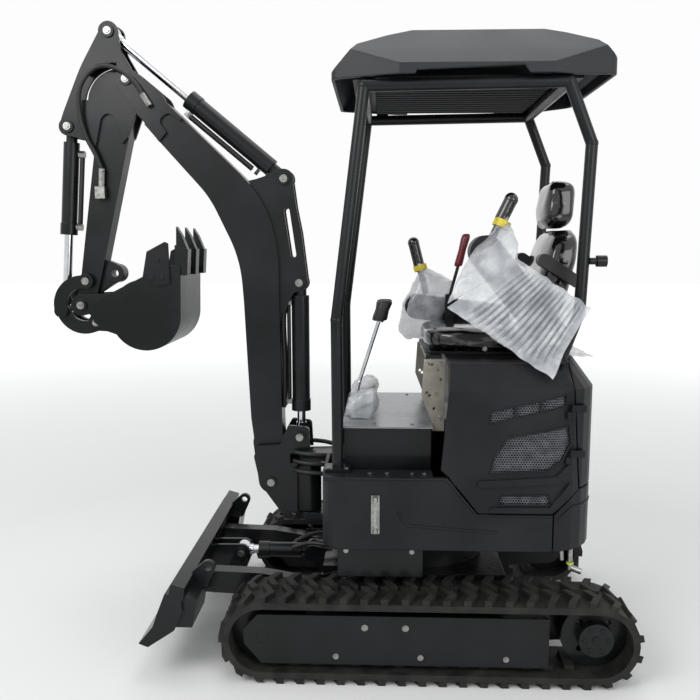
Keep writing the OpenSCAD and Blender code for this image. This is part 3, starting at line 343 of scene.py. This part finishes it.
# Head of a bolt or pin with a smaller raised middle, its axis along Z
def buildHead(tree, given):
    washer = addNode(tree, "GeometryNodeMeshCylinder", {
        "Vertices": 24, "Radius": given["Radius"], "Depth": given["Depth"]}).outputs["Mesh"]
    narrow = addNode(tree, "ShaderNodeMath", {0: given["Radius"], 1: 0.66}, operation="MULTIPLY").outputs[0]
    deep = addNode(tree, "ShaderNodeMath", {0: given["Depth"], 1: 2.4}, operation="MULTIPLY").outputs[0]
    nut = addNode(tree, "GeometryNodeMeshCylinder", {
        "Vertices": 6, "Radius": narrow, "Depth": deep}).outputs["Mesh"]
    joined = addNode(tree, "GeometryNodeJoinGeometry", {"Geometry": washer})
    tree.links.new(nut, joined.inputs["Geometry"])
    return joined.outputs["Geometry"]


# Six-sided ring of wire in the XZ plane
def buildCell(tree, given):
    ring = addNode(tree, "GeometryNodeCurvePrimitiveCircle", {"Resolution": 6, "Radius": given["Radius"]})
    wire = addNode(tree, "GeometryNodeCurvePrimitiveCircle", {"Resolution": 4, "Radius": given["Wire"]})
    swept = addNode(tree, "GeometryNodeCurveToMesh", {
        "Curve": ring.outputs["Curve"], "Profile Curve": wire.outputs["Curve"]})
    upright = addNode(tree, "GeometryNodeTransform", {
        "Geometry": swept.outputs["Mesh"], "Rotation": (math.pi / 2, 0.0, 0.0)})
    return upright.outputs["Geometry"]


def buildBlock(tree, given):
    size = addNode(tree, "ShaderNodeCombineXYZ", {
        "X": given["Length"], "Y": given["Width"], "Z": given["Height"]})
    return addNode(tree, "GeometryNodeMeshCube", {"Size": size.outputs["Vector"]}).outputs["Mesh"]


def buildRib(tree, given):
    rod = addNode(tree, "GeometryNodeMeshCylinder", {
        "Vertices": 20, "Radius": given["Radius"], "Depth": given["Length"]}).outputs["Mesh"]
    return addNode(tree, "GeometryNodeTransform", {
        "Geometry": rod, "Rotation": (0.0, math.pi / 2, 0.0)}).outputs["Geometry"]


outward = {-1: (math.pi / 2, 0.0, 0.0), 1: (-math.pi / 2, 0.0, 0.0)}  # Z turned to the left or right side
upward = (0.0, 0.0, 0.0)
sideNames = {-1: "Left", 1: "Right"}
headRadius = 10  # millimetres, before a point scales it
headSize = {"Radius": headRadius * mm, "Depth": 3 * mm}

# Pin caps, [x, z, half width over the CAD's head], all of one radius
pinCaps = {
    "swing_post": [(-619, 600, 86), (-501, 789, 86)],
    "boom": [(-502, 1407, 47), (-560, 1814, 47), (-1163, 2190, 75)],
    "arm": [(-1232, 2372, 57), (-1405, 2016, 57), (-1356, 1413, 64)],
    "bucket": [(-1370, 1318, 87), (-1310, 1250, 87)],
    "blade": [(-752, 285, 49)],
}
capRadius = 15
for body, caps in pinCaps.items():
    spots = [rowPoint(x, side * (y + 1), z) for x, z, y in caps for side in (-1, 1)]
    turns = [outward[side] for cap in caps for side in (-1, 1)]
    sizes = [capRadius / headRadius] * len(spots)
    repeatOnPoints("pinCaps_" + body, spots, sizes, turns, zincSteel, body, headSize, buildHead)

# Bolts of the house, [x, y, z, radius], facing sideways or up
sideBolts = [(-8, 277, 1118, 8), (44, 277, 1122, 8), (30, 277, 1006, 8), (46, 277, 912, 8),
             (-300, 421, 450, 9), (-60, 421, 448, 9), (213, 228, 1170, 9)]
topBolts = [(-362, 415, 758, 8), (-298, 415, 758, 8), (410, 420, 1155, 7), (410, 360, 1155, 7),
            (-200, 300, 896, 7), (-60, 300, 896, 7), (-200, 0, 896, 7),
            (-213, 440, 748, 10), (-152, 440, 748, 10), (-63, 440, 748, 10), (-20, 440, 748, 10)]
spots = [rowPoint(x, side * y, z) for x, y, z, r in sideBolts for side in (-1, 1)]
turns = [outward[side] for bolt in sideBolts for side in (-1, 1)]
sizes = [bolt[3] / headRadius for bolt in sideBolts for side in (-1, 1)]
for x, y, z, r in topBolts:
    for side in ((-1, 1) if y else (1,)):
        spots.append(rowPoint(x, side * y, z))
        turns.append(upward)
        sizes.append(r / headRadius)
repeatOnPoints("houseBolts", spots, sizes, turns, zincSteel, "house", headSize, buildHead)

# Bolts of the track frames and the drive sprockets
frameY = 521
rollerX = (-332, -30, 274)
frameBolts = [(-229, frameY, 204, 12), (-84, frameY, 204, 12)] + [(x, frameY, 94, 11) for x in rollerX]
sprocket = {"x": 594, "y": 506, "z": 161, "circle": 42, "bolts": 6}
sprocketBolts = [(sprocket["x"] + sprocket["circle"] * math.cos(a), sprocket["y"],
                  sprocket["z"] + sprocket["circle"] * math.sin(a), 9)
                 for a in (2 * math.pi * k / sprocket["bolts"] for k in range(sprocket["bolts"]))]
sprocketBolts.append((sprocket["x"], sprocket["y"], sprocket["z"], 16))
for name, bolts, material in (("trackBolts", frameBolts, zincSteel),
                              ("sprocketBolts", sprocketBolts, glossPaint)):
    spots = [rowPoint(x, side * y, z) for x, y, z, r in bolts for side in (-1, 1)]
    turns = [outward[side] for bolt in bolts for side in (-1, 1)]
    sizes = [bolt[3] / headRadius for bolt in bolts for side in (-1, 1)]
    repeatOnPoints(name, spots, sizes, turns, material, "undercarriage", headSize, buildHead)

# Bolts of the bucket's side cutters
cutters = {"y": 183, "size": 1.1, "bolts": [(-1052, 1430), (-1012, 1430), (-1030, 1500)]}
spots = [rowPoint(x, side * cutters["y"], z) for x, z in cutters["bolts"] for side in (-1, 1)]
turns = [outward[side] for bolt in cutters["bolts"] for side in (-1, 1)]
sizes = [cutters["size"]] * len(spots)
repeatOnPoints("cutterBolts", spots, sizes, turns, glossPaint, "bucket", headSize, buildHead)

# Guide lugs on the inner side of each track's lower run
guideLugs = {"pitch": 76, "from": -560, "to": 560, "clear": 62, "y": 435, "z": 52}
guideX = [x for x in range(guideLugs["from"], guideLugs["to"], guideLugs["pitch"])
          if all(abs(x - roller) > guideLugs["clear"] for roller in rollerX)]
spots = [rowPoint(x, side * guideLugs["y"], guideLugs["z"]) for x in guideX for side in (-1, 1)]
repeatOnPoints("guideLugs", spots, [1.0] * len(spots), [upward] * len(spots), trackRubber, "undercarriage",
               {"Length": 34 * mm, "Width": 120 * mm, "Height": 18 * mm}, buildBlock)

# Ribs of the headliner
linerRibs = {"pitch": 46, "count": 14, "x": 110, "z": 2127}
spots = [rowPoint(linerRibs["x"], (k - (linerRibs["count"] - 1) / 2) * linerRibs["pitch"], linerRibs["z"])
         for k in range(linerRibs["count"])]
repeatOnPoints("linerRibs", spots, [1.0] * len(spots), [upward] * len(spots), mouldedPlastic, "house",
               {"Radius": 15 * mm, "Length": 620 * mm}, buildRib)
print("bolts, lugs and ribs made")

# Side wall of the house: flat, then round its rear corner
house = {"halfWidth": 490, "cornerX": 402, "cornerR": 190}


def wallY(x, inset=0):
    bend = max(0.0, x - house["cornerX"])
    radius = house["cornerR"] - inset
    return house["halfWidth"] - house["cornerR"] + math.sqrt(max(0.0, radius ** 2 - bend ** 2))


def wallTurn(x):
    bend = max(0.0, x - house["cornerX"]) / house["cornerR"]
    return math.asin(min(1.0, bend))


def insideOutline(x, z, outline):
    inside = False
    for (x0, z0), (x1, z1) in zip(outline, outline[1:] + outline[:1]):
        if (z0 > z) != (z1 > z) and x < x0 + (z - z0) / (z1 - z0) * (x1 - x0):
            inside = not inside
    return inside


# Honeycomb screens in the hood's windows
screen = {
    "cell": 9.5, "wire": 1.1, "inset": 10, "fromX": 196, "fromZ": 648, "rows": 48, "columns": 32,
    "main": [(204, 762), (404, 776), (456, 812), (488, 872), (478, 934), (268, 894), (220, 826)],
    "upper": [(200, 940), (466, 1004), (466, 1044), (204, 984)],
    "lower": [(236, 650), (420, 652), (412, 690), (246, 686)],
}
spots, turns = [], []
rowStep = screen["cell"] * math.sqrt(3) / 2
for row in range(screen["rows"]):
    for column in range(screen["columns"]):
        x = screen["fromX"] + (column + 0.5 * (row % 2)) * screen["cell"]
        z = screen["fromZ"] + row * rowStep
        if any(insideOutline(x, z, screen[key]) for key in ("main", "upper", "lower")):
            for side in (-1, 1):
                spots.append(rowPoint(x, side * wallY(x, screen["inset"]), z))
                turns.append((0.0, 0.0, -side * wallTurn(x)))
repeatOnPoints("hoodScreens", spots, [1.0] * len(spots), turns, screenSteel, "house",
               {"Radius": screen["cell"] / math.sqrt(3) * mm, "Wire": screen["wire"] * mm}, buildCell)
print("screens:", len(spots), "cells")


# Raised beads along the house's walls, [x, z] on both sides
def wallPath(points, side, proud):
    path = []
    for (x0, z0), (x1, z1) in zip(points, points[1:]):
        steps = max(2, int(math.hypot(x1 - x0, z1 - z0) / 12))
        for i in range(steps):
            x, z = x0 + (x1 - x0) * i / steps, z0 + (z1 - z0) * i / steps
            path.append(rowPoint(x, side * (wallY(x) + proud), z))
    x, z = points[-1]
    return path + [rowPoint(x, side * (wallY(x) + proud), z)]


beads = {
    "skirtLip": ([(-300, 741), (56, 741), (162, 613), (424, 612)], 5, mouldedPlastic),
    "skirtGroove": ([(-112, 622), (-96, 588), (-72, 572), (150, 556), (236, 552)], 5, mouldedPlastic),
    "weightBead": ([(446, 596), (500, 640), (588, 640)], 4, castIron),
    "windowFrame": (screen["main"] + screen["main"][:1], 4, mouldedPlastic),
    "upperFrame": (screen["upper"] + screen["upper"][:1], 3, mouldedPlastic),
    "lowerFrame": (screen["lower"] + screen["lower"][:1], 3, mouldedPlastic),
}
for name, (points, radius, material) in beads.items():
    tubesPiece(name, [(wallPath(points, side, 0), radius) for side in (-1, 1)], material, "house", 8)


# Seat pads: rings up the pad, drawn in at both ends
def padRings(low, high, halfU, halfV, axisU, axisV, bulge, steps=18, power=4.5,
             fold=70, amount=5):
    rings = []
    for i in range(steps + 1):
        t = i / steps
        drawn = (1 - abs(2 * t - 1) ** 5) ** 0.3 if 0 < i < steps else 0.55
        swell = 1 + bulge * math.sin(math.pi * t)
        ring = superRing(low.lerp(high, t), axisU, axisV, halfU * drawn, halfV * drawn * swell, power)
        rings.append(crumple(ring, fold, amount))
    return rings


cushion = {"low": (205, -225, 1202), "high": (205, 225, 1202), "halfX": 213, "halfZ": 44}
verts, faces = loftMesh(padRings(rowPoint(*cushion["low"]), rowPoint(*cushion["high"]), cushion["halfX"],
                                 cushion["halfZ"], axisX, axisZ, 0.06))
seatCushion = makeObject("seatCushion", verts, faces, filmedVinylPaintedSheen, "house", 60)
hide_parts("seat_cushion")

backrest = {"low": (440, 0, 1241), "high": (520, 0, 1610), "halfY": 204, "halfX": 58}
verts, faces = loftMesh(padRings(rowPoint(*backrest["low"]), rowPoint(*backrest["high"]), backrest["halfY"],
                                 backrest["halfX"], axisY, axisX, 0.12))
seatBack = makeObject("seatBack", verts, faces, filmedVinylPaintedSheen, "house", 60)
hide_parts("seat_back")

headPad = {"low": (496, 0, 1618), "high": (512, 0, 1797), "halfY": 124, "halfX": 50}
verts, faces = loftMesh(padRings(rowPoint(*headPad["low"]), rowPoint(*headPad["high"]), headPad["halfY"],
                                 headPad["halfX"], axisY, axisX, 0.15))
headrest = makeObject("headrestPad", verts, faces, filmedVinylPaintedSheen, "house", 60)
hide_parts("headrest")

# Bag of air columns outside the left console: four corners [x, z], its ribs across the long edges
airBag = {"left": (53, 1340), "bottom": (411, 1100), "right": (548, 1341), "top": (291, 1509), "ribs": 18,
          "rib": 15, "film": 3, "planeY": -430, "drape": 62, "drapeFrom": 1200, "drapeOver": 100,
          "sway": 8, "swayOver": 120, "edge": 5}


def bagPoint(u, v, face):
    left, bottom, right, top = (Vector(airBag[key]) for key in ("left", "bottom", "right", "top"))
    flat = left.lerp(bottom, u).lerp(top.lerp(right, u), v)
    plain = smoothStep((u - 0.1) / 0.12) * smoothStep((0.97 - u) / 0.08)  # flat film at both ends
    column = plain * abs(math.sin(math.pi * airBag["ribs"] * u)) ** 0.7
    swell = airBag["film"] + airBag["rib"] * column * min(1.0, 6 * v, 6 * (1 - v))
    drape = airBag["drape"] * smoothStep((airBag["drapeFrom"] - flat.y) / airBag["drapeOver"])
    over = airBag["swayOver"]
    sway = airBag["sway"] * noise.noise(Vector((flat.x / over, flat.y / over, 0)))
    edge = airBag["edge"] * noise.noise(Vector((u * 9, v * 3, 2)))
    return rowPoint(flat.x + edge, airBag["planeY"] - drape + face * swell + sway, flat.y + edge)


across, along = 22, airBag["ribs"] * 8
verts, faces = sheetMesh(along, across, lambda i, j, face: bagPoint(i / along, j / across, face), -1)
leftBag = makeObject("airColumnBag", verts, faces, clearFilm, "house", 80)
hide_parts("console_bag_left")


# Gathered film: [x, y, z, half length, half width] up its middle
def filmRings(stations, axisU, axisV, power, amount, steps=6, fold=42):
    rings = []
    path = [Vector(s) for s in stations]
    for a, b in zip(path, path[1:]):
        for i in range(steps):
            x, y, z, u, v = a.lerp(b, smoothStep(i / steps))
            rings.append(crumple(superRing(rowPoint(x, y, z), axisU, axisV, u, v, power), fold, amount))
    x, y, z, u, v = path[-1]
    rings.append(superRing(rowPoint(x, y, z), axisU, axisV, u, v, power))
    return rings


slope = Vector((0.84, 0.0, 0.54))  # along the upper left edge of the air-column bag
leftFlap = [(172, -424, 1426, 142, 11), (188, -412, 1492, 124, 20), (206, -372, 1560, 92, 26),
            (230, -330, 1606, 56, 28), (252, -312, 1626, 26, 26), (256, -308, 1640, 28, 28),
            (258, -307, 1648, 26, 26)]
verts, faces = loftMesh(filmRings(leftFlap, slope, axisY, 2.0, 6))
leftFilm = makeObject("leftStickFilm", verts, faces, clearFilm, "house", 80)

rightBag = [(10, 306, 1150, 70, 54), (4, 306, 1170, 92, 62), (0, 306, 1206, 98, 64), (27, 306, 1308, 103, 66),
            (52, 306, 1400, 82, 58), (46, 306, 1422, 64, 48), (2, 306, 1450, 26, 26), (-8, 306, 1466, 27, 27),
            (-10, 306, 1474, 25, 25)]
verts, faces = loftMesh(filmRings(rightBag, axisX, axisY, 2.6, 11))
rightFilm = makeObject("rightConsoleFilm", verts, faces, clearFilm, "house", 80)
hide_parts("console_bag_right")

# Film left over each pedal
pedalFilm = {"y": 170, "stations": [(-250, 898, 54, 42), (-248, 930, 60, 48), (-238, 962, 54, 46),
                                    (-226, 988, 36, 34), (-222, 1002, 14, 12)]}
for side, name in sideNames.items():
    stations = [(x, side * pedalFilm["y"], z, u, v) for x, z, u, v in pedalFilm["stations"]]
    verts, faces = loftMesh(filmRings(stations, axisX, axisY, 3.0, 12))
    film = makeObject("pedalFilm" + name, verts, faces, clearFilm, "house", 80)

# Tape round each neck of film, the burgundy grip, the levers' knobs and the sight tube
tapes = [([rowPoint(247, -309, 1618), rowPoint(258, -307, 1642)], 31),
         ([rowPoint(-2, 306, 1448), rowPoint(-9, 306, 1470)], 30)]
tubesPiece("stickTapes", tapes, yellowTape, "house", 20)


def gripPiece(name, low, high, radius, material):
    rings = []
    profile = ((0, 0.75), (0.03, 0.95), (0.1, 1), (0.5, 0.9), (0.85, 1.05), (0.95, 0.95), (0.99, 0.7),
               (1, 0.3))
    for t, drawn in profile:
        rings.append(superRing(low.lerp(high, t), axisX, axisY, radius * drawn, radius * drawn, 2.0, 24))
    return makeObject(name, *loftMesh(rings), material, "house", 60)


gripPiece("bladeGrip", rowPoint(152, 236, 1466), rowPoint(186, 236, 1604), 18, burgundyGrip)
knob = {"y": 46, "low": (-183, 1258), "high": (-160, 1338), "radius": 30}
for side, name in sideNames.items():
    low, high = (rowPoint(x, side * knob["y"], z) for x, z in (knob["low"], knob["high"]))
    gripPiece("travelKnob" + name, low, high, knob["radius"], gripVinyl)
tubesPiece("sightTube", [([rowPoint(-193, -500, 556), rowPoint(-193, -500, 668)], 6)], acrylic, "house", 16)
tubesPiece("sightEnds", [([rowPoint(-193, -499, z), rowPoint(-193, -499, z + 14)], 9) for z in (546, 664)],
           zincSteel, "house", 16)
print("seat, bags and grips made")

# Hydraulic hoses: points given from the slew axis, the same on both sides
hose = {"radius": 9}


def layHose(name, points, side):
    path = smoothPath([rowPoint(x, side * y, z) for x, y, z in points])
    piece = tubesPiece(name, [(path, hose["radius"])], hoseRubber, None)
    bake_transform(piece)


armRoute = [(-1079, 84, 2101), (-1117, 86, 2165), (-1174, 88, 2216), (-1243, 86, 2236), (-1300, 84, 2210),
            (-1340, 80, 2148), (-1347, 72, 2066), (-1328, 66, 1979), (-1292, 62, 1903), (-1268, 60, 1837)]
for side, name in sideNames.items():
    layHose("armHose" + name, armRoute, side)

# Hose ends and the valve block on the arm
hoseEnds = {"boom": [(-1068, 84, 2086), (-1096, 84, 2130)], "arm": [(-1272, 60, 1852), (-1276, 60, 1780)]}
for body, ends in hoseEnds.items():
    tubesPiece("hoseEnds_" + body, [([rowPoint(x, side * y, z) for x, y, z in ends], 12) for side in (-1, 1)],
               zincSteel, body, 6)
spots = [rowPoint(-1280, side * 60, 1760) for side in (-1, 1)]
repeatOnPoints("armValveBlocks", spots, [1.0] * 2, [upward] * 2, zincSteel, "arm",
               {"Length": 38 * mm, "Width": 24 * mm, "Height": 46 * mm}, buildBlock)

# Hoses from the house's nose round the swing post, three on each side
swingRoute = {"heights": (728, 690, 652),
              "path": [(-366, 92, -10), (-410, 112, -4), (-460, 116, 0), (-500, 102, 2), (-524, 80, 2)]}
for side, name in sideNames.items():
    for k, height in enumerate(swingRoute["heights"]):
        points = [(x, y, height + z) for x, y, z in swingRoute["path"]]
        layHose("swingHose" + name + str(k + 1), points, side)

bladeRoute = [(-296, 66, 300), (-340, 70, 322), (-420, 64, 336), (-480, 48, 330), (-524, 38, 312),
              (-540, 30, 300)]
for side, name in sideNames.items():
    layHose("bladeHose" + name, bladeRoute, side)

# Pipes along the boom's back and the cylinders, with their fittings
boomRoute = [(-568, 900), (-566, 1080), (-570, 1260), (-556, 1318)]
tubes = [(smoothPath([rowPoint(x, y, z) for x, z in boomRoute]), 8) for y in (-24, 24)]
tubesPiece("boomPipes", tubes, hoseRubber, "boom")


def pipeAlong(base, end, offset, fromMm, toMm, radius):
    base, end = rowPoint(base[0], 0, base[1]), rowPoint(end[0], 0, end[1])
    way = (end - base).normalized()
    out = way.cross(axisY)
    places = [(fromMm, offset - 14), (fromMm + 6, offset), (toMm - 6, offset), (toMm, offset - 14)]
    points = [base + way * along * mm + out * off * mm for along, off in places]
    fittings = [([point, point + out * 24 * mm], radius + 5) for point in (points[0], points[3])]
    return points, fittings


pipes = {
    "arm_barrel": ((-560, 1814), (-1232, 2372), 50, 110, 452, 11),
    "bucket_barrel": ((-1405, 2016), (-1461, 1294), 45, 100, 386, 10),
    "boom_barrel": ((-502, 1407), (-501, 789), -47, 80, 486, 8),
}
for body, (base, end, offset, fromMm, toMm, radius) in pipes.items():
    points, fittings = pipeAlong(base, end, offset, fromMm, toMm, radius)
    tubesPiece("pipe_" + body, [(points, radius)], hoseRubber, body)
    tubesPiece("fittings_" + body, fittings, zincSteel, body, 6)
print("hoses and pipes made")

# Drain fittings with their tie under the counterweight
drain = {"x": 508, "y": -430,
         "tubes": [((0, 488), (0, 396), 9), ((0, 404), (40, 388), 11), ((-34, 488), (-30, 432), 8)]}
tubes = [([rowPoint(drain["x"] + x, drain["y"], z) for x, z in (top, low)], radius)
         for top, low, radius in drain["tubes"]]
tubesPiece("drainFittings", tubes, zincSteel, "house", 12)
tubesPiece("drainTie", [([rowPoint(drain["x"], drain["y"], 424), rowPoint(drain["x"], drain["y"], 416)], 13)],
           tiePlastic, "house", 16)

# Film left on the rear hood's top: a crumpled strip, thin and closed
hoodFilm = {"x0": 498, "x1": 570, "y0": -400, "y1": 60, "z": 1162, "thick": 1.5, "wave": 9, "sway": 4}
alongX, alongY = 14, 70


def filmPoint(i, j, face):
    x = hoodFilm["x0"] + (hoodFilm["x1"] - hoodFilm["x0"]) * i / alongX
    y = hoodFilm["y0"] + (hoodFilm["y1"] - hoodFilm["y0"]) * j / alongY
    lift = hoodFilm["wave"] * (0.5 + 0.5 * noise.noise(Vector((x / 26, y / 30, 5))))
    sway = hoodFilm["sway"] * noise.noise(Vector((y / 40, 1, 1)))
    return rowPoint(x + sway, y, hoodFilm["z"] + lift + face * hoodFilm["thick"] / 2)


verts, faces = sheetMesh(alongX, alongY, filmPoint, 1)
strip = makeObject("rearHoodFilm", verts, faces, clearFilm, "rear_hood", 80)

# Studio: a pale floor that goes white away from the machine, for the camera alone
studio = {"floor": "#f1f1f0", "half": 30, "whiteFrom": 2.2, "whiteAt": 9.0, "lift": 0.5, "room": 0.62}
floorPale = makeMaterial("studioFloor", studio["floor"], studio["floor"], 900, (0.6, 0.7))
tree = floorPale.node_tree
away = addNode(tree, "ShaderNodeVectorMath", {0: addNode(tree, "ShaderNodeTexCoord").outputs["Object"]},
               operation="LENGTH").outputs["Value"]
lift = addNode(tree, "ShaderNodeMapRange", {"Value": away, "From Min": studio["whiteFrom"],
                                            "From Max": studio["whiteAt"], "To Max": studio["lift"]})
shown = addNode(tree, "ShaderNodeLightPath").outputs["Is Camera Ray"]
glow = addNode(tree, "ShaderNodeMath", {0: shown, 1: lift.outputs["Result"]}, operation="MULTIPLY")
tree.nodes["Principled BSDF"].inputs["Emission Color"].default_value = linear("#ffffff")
tree.links.new(glow.outputs["Value"], tree.nodes["Principled BSDF"].inputs["Emission Strength"])
corners = [(x * studio["half"], y * studio["half"], -0.001) for x, y in ((-1, -1), (1, -1), (1, 1), (-1, 1))]
floor = makeObject("studioFloor", corners, [(0, 1, 2, 3)], floorPale, None)

scene = bpy.context.scene
world = bpy.data.worlds.new("studio")
world.use_nodes = True
scene.world = world
tree = world.node_tree
rays = addNode(tree, "ShaderNodeLightPath").outputs
seen = addNode(tree, "ShaderNodeMath", {
    0: rays["Is Camera Ray"], 1: rays["Is Glossy Ray"]}, operation="MAXIMUM")
seen = addNode(tree, "ShaderNodeMath", {
    0: seen.outputs["Value"], 1: rays["Is Transmission Ray"]}, operation="MAXIMUM")
room = addNode(tree, "ShaderNodeBackground", {"Color": linear("#f4f6f8"), "Strength": studio["room"]})
backdrop = addNode(tree, "ShaderNodeBackground", {"Color": linear("#fdfdfd"), "Strength": 1.0})
chosen = addNode(tree, "ShaderNodeMixShader", {
    0: seen.outputs["Value"], 1: room.outputs["Background"], 2: backdrop.outputs["Background"]})
tree.links.new(chosen.outputs["Shader"], tree.nodes["World Output"].inputs["Surface"])

softboxes = {
    "key": ((-2.6, -3.4, 3.8), (0.0, 0.0, 1.0), 2.6, 110),
    "fill": ((2.8, -3.6, 2.2), (0.2, 0.0, 0.9), 2.4, 50),
    "top": ((0.4, 0.6, 5.0), (0.2, 0.0, 1.0), 3.0, 55),
}
for name, (place, target, size, power) in softboxes.items():
    lamp = bpy.data.lights.new(name, "AREA")
    lamp.shape = "SQUARE"
    lamp.size = size
    lamp.energy = power
    holder = bpy.data.objects.new(name, lamp)
    holder.location = place
    holder.rotation_euler = (Vector(target) - Vector(place)).to_track_quat("-Z", "Y").to_euler()
    scene.collection.objects.link(holder)

view = {"place": (0.1912, -3.2, 1.552), "down": 7.45, "turn": 2.21, "sensor": 36, "lens": 40.886}
lens = bpy.data.cameras.new("camera")
lens.sensor_width = view["sensor"]
lens.lens = view["lens"]
camera = bpy.data.objects.new("camera", lens)
camera.location = view["place"]
camera.rotation_euler = (math.radians(90 - view["down"]), 0.0, math.radians(view["turn"]))
scene.collection.objects.link(camera)
scene.camera = camera
scene.view_settings.view_transform = "Standard"
print("studio set")
